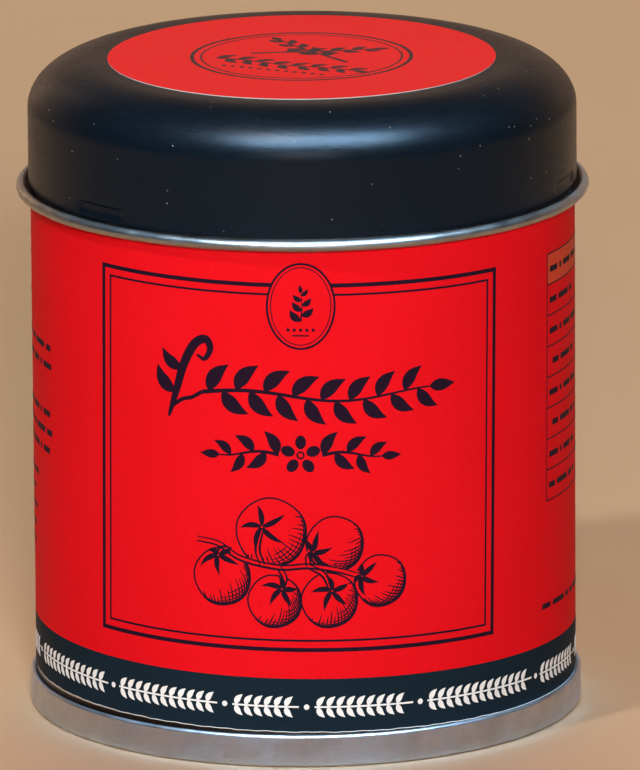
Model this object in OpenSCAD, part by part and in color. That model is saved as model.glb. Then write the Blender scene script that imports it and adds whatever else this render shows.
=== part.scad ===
// Round spice tin with a slip lid over an inner neck, a double-seamed base,
// a shaker insert under the lid and paper labels on the wall and the lid.
// Millimetres, +Z up, origin on the tin's axis at the level it stands on.

/* [Tin wall] */
// Outside diameter of the tin wall
wall_d = 66; // [55:0.5:85]
// Height of the tin, from the standing rim to the top of the rolled rim
tin_h = 65.13; // [45:0.5:110]
// Thickness of the tinplate in the wall, the base, the neck and the lid
sheet_t = 0.23; // [0.18:0.01:0.28]
// Width of the weld that closes the wall
weld_w = 0.8; // [0.5:0.1:2]
// How far the weld stands into the tin
weld_rise = 0.08; // [0.04:0.01:0.15]

/* [Rolled rim] */
// How far the rolled rim stands out from the wall
rim_out = 1.8; // [1.5:0.1:2.6]
// Height of the rolled rim
rim_h = 1.36; // [1.2:0.02:1.8]
// Gap between the rim's rolled-in edge and the wall
rim_slit = 0.12; // [0.08:0.01:0.25]
// Angle of the wall where it leans out into the rolled rim, from the horizontal
rim_lean = 50; // [45:1:60]

/* [Base seam] */
// Height of the double seam that joins the base to the wall
seam_h = 3.95; // [3.4:0.05:5]
// Gap between one layer of the seam and the next
seam_gap = 0.02; // [0.01:0.005:0.04]
// Length of the hook that the wall forms inside the seam
hook_h = 2.2; // [1.6:0.1:2.4]
// How far the base's own hook reaches down inside the seam
cover_hook_h = 2.3; // [1.8:0.1:2.5]
// Height of the base panel's underside above the table
panel_rise = 3.2; // [2.4:0.1:4]
// Height of each stamped ring in the base panel
ring_rise = 0.5; // [0.3:0.1:0.8]
// Width of each stamped ring in the base panel
ring_w = 4; // [3:0.5:6]

/* [Neck] */
// Height of the neck above the rolled rim
neck_h = 8.3; // [7:0.1:10]
// How far the neck reaches down inside the tin
neck_depth = 14; // [10:0.5:20]
// Radial clearance between the neck and the tin wall
neck_gap = 0.03; // [0.02:0.01:0.06]

/* [Lid] */
// Height of the lid
lid_h = 14.82; // [13.5:0.1:20]
// How far the lid's wall stands out from the tin's wall
lid_out = 0.33; // [0.3:0.01:0.5]
// Clearance between the lid's edge and the rolled rim
seat_gap = 0.05; // [0.03:0.01:0.1]
// Width of the lid's rounded shoulder, measured inwards
shoulder_w = 8; // [5:0.5:10]
// Height of the lid's rounded shoulder
shoulder_h = 5.76; // [4:0.1:6.2]

/* [Lid dents] */
// Number of dents that grip the neck
dent_count = 3; // [3:1:6]
// Height of a dent
dent_h = 1.7; // [1.4:0.1:2.4]
// Length of a dent round the lid
dent_l = 8.5; // [5:0.5:12]
// Height of a dent's lower edge above the lid's edge
dent_lift = 0.4; // [0.3:0.05:1.6]
// Clearance between a dent and the neck
dent_gap = 0.06; // [0.04:0.01:0.1]
// Direction of the first dent, turned from the front towards the right
dent_turn = -47; // [-180:1:180]

/* [Shaker insert] */
// Wall and deck thickness of the plastic insert
insert_t = 0.8; // [0.6:0.1:1]
// Depth of the insert's skirt below the top of the neck
skirt_h = 6; // [4:0.5:7]
// Radial clearance between the skirt and the neck
skirt_gap = 0.05; // [0.03:0.01:0.1]
// Radius of the raised shaker top
shaker_r = 20.5; // [16:0.5:22]
// Diameter of one shaker hole
hole_d = 3.6; // [2:0.1:4]
// Distance from one ring of shaker holes to the next
hole_pitch = 6.2; // [5.6:0.1:6.6]
// Number of rings of shaker holes round the middle one
hole_rings = 2; // [1:1:2]
// Width of each notch for a fingernail in the insert's edge
notch_w = 9; // [6:0.5:14]
// Depth of each notch for a fingernail
notch_in = 1.1; // [0.8:0.1:1.4]

/* [Seal] */
// Thickness of the sealing disc in the lid
seal_t = 1.2; // [0.8:0.1:1.6]
// Radius of the sealing disc
seal_r = 24; // [22:0.5:24.5]
// Clearance on each side of the sealing disc
seal_gap = 0.04; // [0.02:0.01:0.08]

/* [Labels] */
// Thickness of the label paper
paper_t = 0.09; // [0.06:0.01:0.15]
// Layer of glue under the labels
glue_t = 0.01; // [0.005:0.005:0.02]
// Gap between the wall label and the base seam below or the rim above
label_margin = 0.2; // [0.1:0.05:2]
// Length of the wall label's lapped end
lap_l = 5; // [3:0.5:10]
// Diameter of the round label on the lid
lid_label_d = 47.1; // [35:0.1:49]

/* [Hidden] */
$fn = 180;
arc_steps = 10;
shoulder_steps = 18;

half_t = sheet_t / 2;
wall_r = wall_d / 2;
layer = sheet_t + seam_gap;

// Middle of each layer of the base seam, from the inside outwards
chuck_mid = wall_r - half_t - layer;
wall_mid = wall_r - half_t;
cover_mid = wall_mid + layer;
hook_mid = wall_mid + 2 * layer;
outer_mid = wall_mid + 3 * layer;
base_corner = layer;
hook_base = sheet_t + 2 * seam_gap + half_t + layer;
cover_top = seam_h - half_t - layer;
hook_end = hook_base + hook_h;
cover_end = cover_top - cover_hook_h;
panel_corner = 0.6;
panel_mid = panel_rise + half_t;
ring_slope = 0.6;
ring_places = [0.3, 0.62];

// Rolled rim
rim_z = tin_h - rim_h / 2;
rim_mid = rim_h / 2 - half_t;
rim_far = wall_r + rim_out - half_t - rim_mid;
flare_z = rim_z + rim_mid * sin(90 + rim_lean)
    - (rim_far + rim_mid * cos(90 + rim_lean) - wall_mid) * tan(rim_lean);
rim_end = wall_mid + max(0, rim_z - rim_mid + half_t - flare_z) / tan(rim_lean)
    + half_t / sin(rim_lean) + rim_slit;

// Neck
neck_out = wall_r - sheet_t - neck_gap;
neck_in = neck_out - sheet_t;
neck_top = tin_h + neck_h;
neck_low = tin_h - neck_depth;

// Lid
lid_r = wall_r + lid_out;
lid_low = tin_h + seat_gap;
lid_top = lid_low + lid_h;
lid_flat_r = lid_r - shoulder_w;
shoulder_z = lid_top - shoulder_h;
dent_depth = lid_r - sheet_t - neck_out - dent_gap;
dent_z = lid_low + dent_lift + dent_h / 2;

// Seal and insert
seal_top = lid_top - sheet_t - seal_gap;
seal_low = seal_top - seal_t;
shaker_top = seal_low - seal_gap;
skirt_r = neck_in - skirt_gap;
skirt_low = neck_top - skirt_h;
deck_r = neck_out - skirt_gap;
deck_top = neck_top + insert_t;

// Labels
label_low = seam_h + label_margin;
label_top = min(tin_h - rim_h, flare_z) - label_margin;
label_in = wall_r + glue_t;
label_out = label_in + paper_t;
lap_angle = lap_l / label_out * 180 / PI;
eps = 0.01;

// Points of an arc round c, from angle a to angle b
function arc(c, r, a, b, steps = arc_steps) =
    [for (i = [0:steps]) let (w = a + (b - a) * i / steps) c + r * [cos(w), sin(w)]];

// Unit vector to the left of the way from p to q
function left(p, q) = [p.y - q.y, q.x - p.x] / norm(q - p);

// Point i of a path, moved sideways so that both its segments move by d
function beside(path, i, d) =
    let (n = len(path) - 1,
         a = left(path[max(i - 1, 0)], path[max(i, 1)]),
         b = left(path[min(i, n - 1)], path[min(i + 1, n)]))
    path[i] + d * (a + b) / (1 + a * b);

// Outline of a sheet of thickness t whose middle follows a path
function sheet_outline(path, t) = concat(
    [for (i = [0:len(path) - 1]) beside(path, i, t / 2)],
    [for (i = [len(path) - 1:-1:0]) beside(path, i, -t / 2)]
);

// A sheet spun round the tin's axis
module spun_sheet(path) {
    rotate_extrude() polygon(sheet_outline(path, sheet_t));
}

// Tube between two radii and two heights
module ring(r_in, r_out, z_low, z_high) {
    rotate_extrude() translate([r_in, z_low]) square([r_out - r_in, z_high - z_low]);
}

// Wall, hook inside the base seam, rolled rim and weld
module body_shell() {
    path = concat(
        [[hook_mid, hook_end]],
        arc([cover_mid, hook_base], layer, 0, -180),
        [[wall_mid, flare_z]],
        arc([rim_far, rim_z], rim_mid, 90 + rim_lean, -90),
        [[rim_end, rim_z - rim_mid]]
    );
    color("silver") {
        spun_sheet(path);
        weld();
    }
}

module weld() {
    intersection() {
        ring(wall_r - sheet_t - weld_rise, wall_mid, panel_rise + 2, neck_low - 1);
        translate([-weld_w / 2, 0, 0]) cube([weld_w, wall_r, tin_h]);
    }
}

// Base: stamped panel, wall of the recess, standing rim and the seam's outside
module base_end() {
    edge = chuck_mid - panel_corner;
    rings = [for (s = ring_places) let (c = s * edge) each [
        [c - ring_w / 2 - ring_slope, panel_mid], [c - ring_w / 2, panel_mid + ring_rise],
        [c + ring_w / 2, panel_mid + ring_rise], [c + ring_w / 2 + ring_slope, panel_mid]
    ]];
    path = concat(
        [[0, panel_mid]], rings,
        arc([edge, panel_mid - panel_corner], panel_corner, 90, 0),
        arc([chuck_mid + base_corner, half_t + base_corner], base_corner, 180, 270),
        arc([outer_mid - base_corner, half_t + base_corner], base_corner, 270, 360),
        arc([hook_mid, cover_top], layer, 0, 180),
        [[cover_mid, cover_end]]
    );
    color("darkgray") spun_sheet(path);
}

// Sealing ring between the two hooks of the base seam
module seam_compound() {
    color("dimgray") ring(hook_mid - half_t, hook_mid + half_t, hook_end + seam_gap, cover_top);
}

// Inner neck, pressed into the tin, over which the lid slips
module neck_collar() {
    color("gainsboro") ring(neck_in, neck_out, neck_low, neck_top);
}

// One dent at the lid's front: a bar bent round the lid, with sloping sides. grow is what
// the sheet's thickness adds to it inside the lid, and out is where it ends outside
module dent_form(grow, out) {
    face = lid_r - grow;
    angle = (dent_l + 2 * grow) / lid_r * 180 / PI;
    side = [
        [face - dent_depth, dent_h / 4 + grow], [face, dent_h / 2 + grow], [out, dent_h / 2 + grow]
    ];
    outline = concat(side, [for (i = [2:-1:0]) [side[i].x, -side[i].y]]);
    rotate([0, 0, -90 - angle / 2]) rotate_extrude(angle = angle) translate([0, dent_z]) polygon(outline);
}

module each_dent() {
    for (i = [0:dent_count - 1]) rotate([0, 0, dent_turn + i * 360 / dent_count]) children();
}

// Drawn lid with a rounded shoulder and the dents that grip the neck
module lid_shell() {
    shoulder = [for (i = [0:shoulder_steps]) let (w = 90 * i / shoulder_steps) [
        lid_flat_r + (shoulder_w - half_t) * cos(w), shoulder_z + (shoulder_h - half_t) * sin(w)
    ]];
    path = concat([[lid_r - half_t, lid_low]], shoulder, [[0, lid_top - half_t]]);
    color([0.04, 0.04, 0.06]) difference() {
        union() {
            spun_sheet(path);
            each_dent() dent_form(sheet_t, lid_r - half_t);
        }
        each_dent() dent_form(0, lid_r + sheet_t);
    }
}

// Shaker insert: skirt, deck, raised top with its holes and two notches
module shaker_insert() {
    color("white") difference() {
        union() {
            ring(skirt_r - insert_t, skirt_r, skirt_low, neck_top + eps);
            ring(shaker_r - insert_t, deck_r, neck_top, deck_top);
            ring(shaker_r - insert_t, shaker_r, neck_top, shaker_top);
            translate([0, 0, shaker_top - insert_t]) cylinder(r = shaker_r, h = insert_t);
        }
        shaker_holes();
        for (s = [-1, 1]) translate([s * deck_r, 0, deck_top])
            cube([2 * notch_in, notch_w, 2 * insert_t - 2 * eps], center = true);
    }
}

module shaker_holes() {
    for (k = [0:hole_rings], i = [0:max(6 * k, 1) - 1])
        rotate([0, 0, i * 60 / max(k, 1)]) translate([k * hole_pitch, 0, shaker_top - 2 * insert_t])
            cylinder(d = hole_d, h = 3 * insert_t);
}

// Soft disc under the lid's top that closes the shaker holes
module seal_disc() {
    color("whitesmoke") translate([0, 0, seal_low]) cylinder(r = seal_r, h = seal_t);
}

// Paper wrapped once round the wall, lapped over itself at the back
module body_label() {
    color("crimson") {
        ring(label_in, label_out, label_low, label_top);
        rotate([0, 0, 90 - lap_angle / 2]) rotate_extrude(angle = lap_angle)
            translate([label_out - eps, label_low]) square([paper_t + eps, label_top - label_low]);
    }
}

// Round label on the lid
module lid_label() {
    color("red") translate([0, 0, lid_top + glue_t]) cylinder(d = lid_label_d, h = paper_t);
}

body_shell();
base_end();
seam_compound();
neck_collar();
shaker_insert();
seal_disc();
lid_shell();
body_label();
lid_label();
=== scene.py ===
# %% [markdown]
# # A spice tin, dressed around a fixed frame
# The tin's pieces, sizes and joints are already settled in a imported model. This lesson loads that
# model, leaves it where it is and gives every piece its final shape and finish. A round tin is mostly
# sheet metal spun round one axis, so most pieces are profiles turned round that axis. The print on the
# paper labels is made as very thin strips that lie on the paper, because crisp ink survives an export
# better as geometry than as a painted texture.

# %% Load the fixed frame
import math

import bmesh
import bpy
import numpy as np
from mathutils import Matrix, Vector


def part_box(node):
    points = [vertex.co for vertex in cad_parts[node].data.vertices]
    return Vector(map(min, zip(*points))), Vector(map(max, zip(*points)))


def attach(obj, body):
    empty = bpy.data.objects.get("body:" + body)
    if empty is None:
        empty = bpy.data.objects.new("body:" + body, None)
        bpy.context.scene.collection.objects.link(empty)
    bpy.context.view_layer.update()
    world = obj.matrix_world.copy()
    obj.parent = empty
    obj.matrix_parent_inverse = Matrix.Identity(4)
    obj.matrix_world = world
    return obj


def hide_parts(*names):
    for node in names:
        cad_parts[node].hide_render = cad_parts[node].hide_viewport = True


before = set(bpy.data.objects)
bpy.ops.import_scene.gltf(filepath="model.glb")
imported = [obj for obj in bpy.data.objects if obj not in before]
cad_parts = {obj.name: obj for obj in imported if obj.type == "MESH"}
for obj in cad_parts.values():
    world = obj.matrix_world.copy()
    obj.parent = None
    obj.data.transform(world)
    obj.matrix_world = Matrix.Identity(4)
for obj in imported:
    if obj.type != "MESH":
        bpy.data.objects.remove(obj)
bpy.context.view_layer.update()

MM = 0.001

# %% [markdown]
# ## The sizes that the pieces share
# A node's box gives its outer radius and its heights, so no size is guessed twice. Only what a box
# can't tell, such as the thickness of the sheet, is written here as a named value.

# %% Read radii and heights from the frame


def outer_radius(node):
    """Largest x of a round node, which is its outer radius."""
    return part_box(node)[1].x


def low_end(node):
    """Height of a node's lowest point."""
    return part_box(node)[0].z


def top_end(node):
    """Height of a node's highest point."""
    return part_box(node)[1].z


SHEET = 0.23 * MM
PAPER = 0.09 * MM
GLUE = 0.01 * MM
COLUMNS = 512

paper_r = outer_radius("body_label")
wall_r = paper_r - PAPER - GLUE
rim_r = outer_radius("body_shell")
rim_top = top_end("body_shell")
seam_r = outer_radius("base_end")
seam_top = top_end("base_end")
lid_r = outer_radius("lid_shell")
lid_low = low_end("lid_shell")
lid_top = top_end("lid_shell")
print("wall, rim, seam and lid radii in mm:", [round(r / MM, 2) for r in (wall_r, rim_r, seam_r, lid_r)])

# %% [markdown]
# ## Grids, solids and lathes
# A surface is a grid of points worked out as one array. Joining each point to its neighbours gives the
# faces. A closed profile turned round the axis gives a lathe, and two grids one above the other give a
# slab. Both are closed, so they have an inside and an outside, and their volume tells which way the
# faces point.

# %% Turn arrays of points into closed meshes


def grid_faces(rows, columns, wrap_rows, wrap_columns):
    """Corner numbers of the quads between neighbouring points of a grid; a wrapped side joins its start."""
    row = np.arange(rows if wrap_rows else rows - 1)
    column = np.arange(columns if wrap_columns else columns - 1)
    row, column = np.meshgrid(row, column, indexing="ij")
    next_row = (row + 1) % rows
    next_column = (column + 1) % columns
    corners = [
        row * columns + column,
        row * columns + next_column,
        next_row * columns + next_column,
        next_row * columns + column,
    ]
    return np.stack(corners, axis=-1).reshape(-1, 4)


def slab(top, bottom):
    """Points and faces of the solid between two equal grids: each row runs along the top and back below."""
    ring = np.concatenate([top, bottom[:, ::-1]], axis=1)
    rows, across = ring.shape[:2]
    faces = grid_faces(rows, across, False, True)
    j = np.arange(top.shape[1] - 1)
    first = np.stack([j + 1, j, across - 1 - j, across - 2 - j], axis=-1)
    last = np.stack([j, j + 1, across - 2 - j, across - 1 - j], axis=-1) + (rows - 1) * across
    return ring.reshape(-1, 3), np.concatenate([faces, first, last])


def closed_mesh(name, points, faces, finish_of_face=None, sharp_degrees=35):
    """Mesh with its double points merged and its faces outwards: the sign of its volume says if they are.
    Merging leaves a bare edge where faces have shrunk to a line, and those edges are deleted."""
    mesh = bpy.data.meshes.new(name)
    mesh.from_pydata(points.tolist(), [], faces.tolist())
    if finish_of_face is not None:
        mesh.polygons.foreach_set("material_index", finish_of_face.astype(np.int32))
    shape = bmesh.new()
    shape.from_mesh(mesh)
    bmesh.ops.remove_doubles(shape, verts=shape.verts, dist=1e-7)
    bare = [edge for edge in shape.edges if not edge.link_faces]
    bmesh.ops.delete(shape, geom=bare, context="EDGES")
    if shape.calc_volume(signed=True) < 0:
        bmesh.ops.reverse_faces(shape, faces=shape.faces)
    volume = shape.calc_volume(signed=True)
    open_edges = sum(1 for edge in shape.edges if len(edge.link_faces) != 2)
    shape.to_mesh(mesh)
    shape.free()
    mesh.shade_smooth()
    mesh.set_sharp_from_angle(angle=math.radians(sharp_degrees))
    print(f"{name}: {len(mesh.polygons)} faces, {volume / MM**3:.1f} mm3, {open_edges} open edges")
    return mesh


def spun(name, outline, shift=None, finishes=None, columns=COLUMNS, sharp_degrees=35):
    """Closed outline of (radius, height) points turned round Z. shift(turn, radius, height) gives what is
    added to each radius, where turn is the angle from the front, -Y, towards the right, +X. finishes
    gives each outline point's material number, which its face carries."""
    turn = (np.arange(columns) + 0.5) * 2 * np.pi / columns - np.pi
    radius = np.repeat(outline[:, 0][:, None], columns, axis=1)
    height = np.repeat(outline[:, 1][:, None], columns, axis=1)
    angle = np.repeat(turn[None, :], len(outline), axis=0)
    if shift is not None:
        radius = radius + shift(angle, radius, height)
    points = np.stack([radius * np.sin(angle), -radius * np.cos(angle), height], axis=-1)
    faces = grid_faces(len(outline), columns, True, True)
    used = None if finishes is None else np.repeat(finishes, columns)
    return closed_mesh(name, points.reshape(-1, 3), faces, used, sharp_degrees)


def add_piece(name, mesh, body, materials, replaced=()):
    """Object for a finished mesh: it rides on a body and stands for the CAD nodes that it replaces."""
    made = bpy.data.objects.new(name, mesh)
    bpy.context.scene.collection.objects.link(made)
    for material in materials:
        mesh.materials.append(material)
    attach(made, body)
    if replaced:
        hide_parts(*replaced)
    return made


# %% [markdown]
# ## Profiles of bent sheet
# Sheet metal keeps its thickness when it is bent, so a bent sheet is one line, its middle, moved half
# the thickness to either side. Curls and hooks are arcs of that middle line.

# %% Draw the middle line of a sheet and thicken it


def arc(centre, radius, start, end, steps=14):
    """Points on a circle from one angle to another, in degrees."""
    angle = np.radians(np.linspace(start, end, steps + 1))
    return np.stack([centre[0] + radius * np.cos(angle), centre[1] + radius * np.sin(angle)], axis=-1)


def sideways(path):
    """Direction across a path at each point: the mean of the normals beside it, made longer at a corner
    so that both sides of the corner keep their distance."""
    step = np.diff(path, axis=0)
    normal = np.stack([-step[:, 1], step[:, 0]], axis=-1)
    normal = normal / np.linalg.norm(normal, axis=1, keepdims=True)
    before = np.concatenate([normal[:1], normal])
    after = np.concatenate([normal, normal[-1:]])
    return (before + after) / (1 + np.sum(before * after, axis=1, keepdims=True))


def sheet_outline(path, thickness=SHEET):
    """Closed outline of a sheet: its middle line moved half the thickness to one side, and back."""
    across = sideways(path) * thickness / 2
    return np.concatenate([path + across, (path - across)[::-1]])


def with_steps(path, longest):
    """The same line with points added on its straight runs, so that no step is longer than this."""
    parts = [path[:1]]
    for start, end in zip(path[:-1], path[1:]):
        count = max(1, math.ceil(np.linalg.norm(end - start) / longest))
        share = np.arange(1, count + 1)[:, None] / count
        parts.append(start + (end - start) * share)
    return np.concatenate(parts)


def rounded(corners, radius, steps=4):
    """Outline with its corners rounded: each is a curve between two points one radius before and behind
    it, the mean of the two straight ways weighted by (1-t)^2, 2t(1-t) and t^2."""
    corners = np.array(corners, float)
    before = np.roll(corners, 1, axis=0) - corners
    after = np.roll(corners, -1, axis=0) - corners
    reach = np.minimum(np.linalg.norm(before, axis=1), np.linalg.norm(after, axis=1)) / 2.2
    size = np.minimum(np.broadcast_to(np.array(radius, float), reach.shape), reach)[:, None]
    start = corners + before / np.linalg.norm(before, axis=1, keepdims=True) * size
    end = corners + after / np.linalg.norm(after, axis=1, keepdims=True) * size
    t = np.linspace(0, 1, steps + 1)[None, :, None]
    curve = (1 - t) ** 2 * start[:, None] + 2 * t * (1 - t) * corners[:, None] + t**2 * end[:, None]
    return curve.reshape(-1, 2)


def step_up(value, start, end):
    """0 before start, 1 after end and a smooth S between them: 3t^2 - 2t^3."""
    t = np.clip((value - start) / (end - start), 0, 1)
    return t * t * (3 - 2 * t)


def hump(value, centre, half, edge):
    """1 within half of the centre, falling smoothly to 0 over the edge."""
    return 1 - step_up(np.abs(value - centre), half - edge / 2, half + edge / 2)


# %% [markdown]
# ## Finishes
# Every finish starts from one shader with its plain values set on it. Patterns read Object
# coordinates, which are metres in the tin's own frame here, so a scale of 1000 means marks about a
# millimetre apart. Drawn and rolled metal is marked round the tin, so its pattern reads the way round
# and the height instead.

# %% Short helpers for shader nodes


def plain_material(name, colour, roughness, metallic=0.0, specular=0.5):
    """New material with one Principled shader and its uniform values."""
    made = bpy.data.materials.new(name)
    made.use_nodes = True
    shader = made.node_tree.nodes["Principled BSDF"]
    shader.inputs["Base Color"].default_value = (*colour, 1)
    shader.inputs["Roughness"].default_value = roughness
    shader.inputs["Metallic"].default_value = metallic
    shader.inputs["Specular IOR Level"].default_value = specular
    return made, shader


def wire(made, source, target):
    """Link from an output to an input."""
    made.node_tree.links.new(source, target)


def place(made, stretch=(1, 1, 1)):
    """Object coordinates, stretched along the axes."""
    nodes = made.node_tree.nodes
    where = nodes.new("ShaderNodeTexCoord")
    mapping = nodes.new("ShaderNodeMapping")
    mapping.inputs["Scale"].default_value = stretch
    wire(made, where.outputs["Object"], mapping.inputs["Vector"])
    return mapping.outputs["Vector"]


def place_round(made, stretch=(1, 1, 1)):
    """Way round the tin, distance from its axis and height. The way round is the angle from the front,
    atan2(x, -y), times the wall's radius, so it runs on without a break except at the back."""
    nodes = made.node_tree.nodes
    where = nodes.new("ShaderNodeTexCoord")
    split = nodes.new("ShaderNodeSeparateXYZ")
    wire(made, where.outputs["Object"], split.inputs["Vector"])
    back = math_node(made, "MULTIPLY", split.outputs["Y"], -1)
    turn = math_node(made, "ARCTAN2", split.outputs["X"], back)
    way = math_node(made, "MULTIPLY", turn, wall_r * stretch[0])
    flat = nodes.new("ShaderNodeVectorMath")
    flat.operation = "LENGTH"
    level = nodes.new("ShaderNodeCombineXYZ")
    wire(made, split.outputs["X"], level.inputs["X"])
    wire(made, split.outputs["Y"], level.inputs["Y"])
    wire(made, level.outputs["Vector"], flat.inputs[0])
    join = nodes.new("ShaderNodeCombineXYZ")
    wire(made, way, join.inputs["X"])
    wire(made, math_node(made, "MULTIPLY", flat.outputs["Value"], stretch[1]), join.inputs["Y"])
    wire(made, math_node(made, "MULTIPLY", split.outputs["Z"], stretch[2]), join.inputs["Z"])
    return join.outputs["Vector"]


def math_node(made, operation, first, second=0.0):
    """Result of one sum on two values, each a number or an output."""
    node = made.node_tree.nodes.new("ShaderNodeMath")
    node.operation = operation
    for value, socket in zip((first, second), node.inputs):
        if isinstance(value, (int, float)):
            socket.default_value = value
        else:
            wire(made, value, socket)
    return node.outputs["Value"]


def noise(made, where, scale, detail=2.0, roughness=0.5):
    """Cloudy noise from 0 to 1."""
    node = made.node_tree.nodes.new("ShaderNodeTexNoise")
    node.inputs["Scale"].default_value = scale
    node.inputs["Detail"].default_value = detail
    node.inputs["Roughness"].default_value = roughness
    wire(made, where, node.inputs["Vector"])
    return node.outputs["Fac"]


def specks(made, where, scale, size):
    """1 on small round specks at random places and 0 elsewhere: the cells' centre distance under a size."""
    node = made.node_tree.nodes.new("ShaderNodeTexVoronoi")
    node.inputs["Scale"].default_value = scale
    wire(made, where, node.inputs["Vector"])
    return remap(made, node.outputs["Distance"], size, size * 0.6, 0.0, 1.0)


def remap(made, value, from_low, from_high, to_low, to_high):
    """Value moved from one range to another, and kept inside it."""
    node = made.node_tree.nodes.new("ShaderNodeMapRange")
    wire(made, value, node.inputs["Value"])
    node.inputs["From Min"].default_value = from_low
    node.inputs["From Max"].default_value = from_high
    node.inputs["To Min"].default_value = to_low
    node.inputs["To Max"].default_value = to_high
    return node.outputs["Result"]


def mix_colours(made, share, first, second):
    """Colour between two colours, each a triple or an output."""
    node = made.node_tree.nodes.new("ShaderNodeMix")
    node.data_type = "RGBA"
    wire(made, share, node.inputs["Factor"])
    for value, socket in ((first, node.inputs[6]), (second, node.inputs[7])):
        if isinstance(value, tuple):
            socket.default_value = (*value, 1)
        else:
            wire(made, value, socket)
    return node.outputs[2]


def bump(made, shader, height, depth):
    """Makes the surface look as if it rose by up to depth, in metres, where height is 1."""
    node = made.node_tree.nodes.new("ShaderNodeBump")
    node.inputs["Distance"].default_value = depth
    wire(made, height, node.inputs["Height"])
    wire(made, node.outputs["Normal"], shader.inputs["Normal"])


# %% Tinplate, seam compound and lacquer


def make_tinplate(name, tint, stain, roughness, painted_shade_below=0.0, groove_r=0.0, groove_z=1.0):
    """Rolled tinplate: fine lines round the tin, cloudy dull patches, a little brown tarnish, and painted
    shade, a near black, where its height above the floor is less than painted_shade_below, or where it is
    above groove_z and nearer to the axis than groove_r."""
    made, shader = plain_material(name, tint, roughness, metallic=1.0)
    lines = noise(made, place_round(made, (0.12, 1, 1)), 5200, 3.0)
    clouds = noise(made, place(made), 260, 3.0)
    tarnish = remap(made, noise(made, place(made), 95, 4.0, 0.6), 0.50, 0.78, 0.0, 0.75)
    grime = mix_colours(made, tarnish, tint, stain)
    clouded = mix_colours(made, remap(made, clouds, 0.3, 0.7, 0.0, 0.30), grime, stain)
    split = made.node_tree.nodes.new("ShaderNodeSeparateXYZ")
    wire(made, place(made), split.inputs["Vector"])
    # Painted shade: a near black mixed into the colour low on the wall and in the groove under the lid's
    # edge, where shade falls.
    below = remap(made, split.outputs["Z"], painted_shade_below - 0.2 * MM, painted_shade_below, 1.0, 0.0)
    around_axis = made.node_tree.nodes.new("ShaderNodeSeparateXYZ")
    wire(made, place_round(made), around_axis.inputs["Vector"])
    near = remap(made, around_axis.outputs["Y"], groove_r, groove_r + 0.15 * MM, 1.0, 0.0)
    above = remap(made, split.outputs["Z"], groove_z, groove_z + 0.1 * MM, 0.0, 1.0)
    painted_shade = math_node(made, "MAXIMUM", below, math_node(made, "MULTIPLY", near, above))
    wire(made, mix_colours(made, painted_shade, clouded, (0.03, 0.02, 0.015)), shader.inputs["Base Color"])
    uneven = math_node(made, "ADD", remap(made, clouds, 0.3, 0.7, -0.05, 0.09), roughness)
    lined = math_node(made, "ADD", uneven, remap(made, lines, 0.3, 0.7, -0.03, 0.03))
    wire(made, lined, shader.inputs["Roughness"])
    grain = math_node(made, "ADD", lines, noise(made, place(made), 2400, 3.0))
    bump(made, shader, grain, 0.000014)
    return made


def make_compound():
    """Matt rubbery sealing compound with a fine grain."""
    made, shader = plain_material("sealing_compound", (0.05, 0.05, 0.05), 0.8)
    grain = noise(made, place(made), 3000, 3.0)
    grey = mix_colours(made, grain, (0.035, 0.035, 0.035), (0.08, 0.078, 0.075))
    wire(made, grey, shader.inputs["Base Color"])
    bump(made, shader, grain, 0.00001)
    return made


def make_lacquer():
    """Satin black lacquer on drawn tinplate: faint drawing lines, orange peel and a few dust specks."""
    made, shader = plain_material("black_lacquer", (0.002, 0.007, 0.014), 0.34, specular=0.17)
    drawn = noise(made, place_round(made, (0.22, 1, 1)), 2600, 4.0, 0.6)
    peel = noise(made, place(made), 1700, 2.0)
    clouds = noise(made, place(made), 70, 3.0)
    dust = specks(made, place(made), 560, 0.05)
    deep = mix_colours(made, clouds, (0.0015, 0.005, 0.011), (0.003, 0.009, 0.018))
    wire(made, mix_colours(made, dust, deep, (0.50, 0.50, 0.48)), shader.inputs["Base Color"])
    uneven = math_node(made, "ADD", remap(made, clouds, 0.3, 0.7, -0.03, 0.04), 0.34)
    lined = math_node(made, "ADD", uneven, remap(made, drawn, 0.3, 0.7, -0.04, 0.04))
    wire(made, lined, shader.inputs["Roughness"])
    grain = math_node(made, "ADD", math_node(made, "MULTIPLY", drawn, 1.4), peel)
    bump(made, shader, math_node(made, "ADD", grain, dust), 0.000011)
    return made


bright_tin = make_tinplate("bright_tinplate", (0.66, 0.65, 0.63), (0.40, 0.32, 0.24), 0.34)
# The wall's finish paints shade into the bare gap above the seam, below 4.6 mm, and into the groove under
# the rim.
wall_tin = make_tinplate(
    "wall_tinplate", (0.40, 0.39, 0.37), (0.20, 0.15, 0.10), 0.34,
    painted_shade_below=4.6 * MM, groove_r=wall_r + 0.95 * MM, groove_z=rim_top - 1.3 * MM,
)
dull_tin = make_tinplate("dull_tinplate", (0.54, 0.57, 0.62), (0.32, 0.27, 0.23), 0.35)
compound = make_compound()
lacquer = make_lacquer()

# %% Papers, inks, plastic and foam


def make_print(name, colour, darker, roughness, specular):
    """Printed surface: an even colour with fine printing speckle and slow changes of shade."""
    made, shader = plain_material(name, colour, roughness, specular=specular)
    speckle = remap(made, noise(made, place(made), 5200, 2.0, 0.7), 0.30, 0.70, 0.0, 1.0)
    slow = remap(made, noise(made, place(made), 60, 2.0), 0.3, 0.7, 0.0, 0.35)
    share = math_node(made, "MULTIPLY", math_node(made, "ADD", speckle, slow), 0.7)
    wire(made, mix_colours(made, share, colour, darker), shader.inputs["Base Color"])
    uneven = math_node(made, "ADD", remap(made, speckle, 0, 1, -0.04, 0.04), roughness)
    wire(made, uneven, shader.inputs["Roughness"])
    fibre = noise(made, place(made), 1500, 4.0, 0.6)
    bump(made, shader, fibre, 0.000006)
    return made


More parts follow.
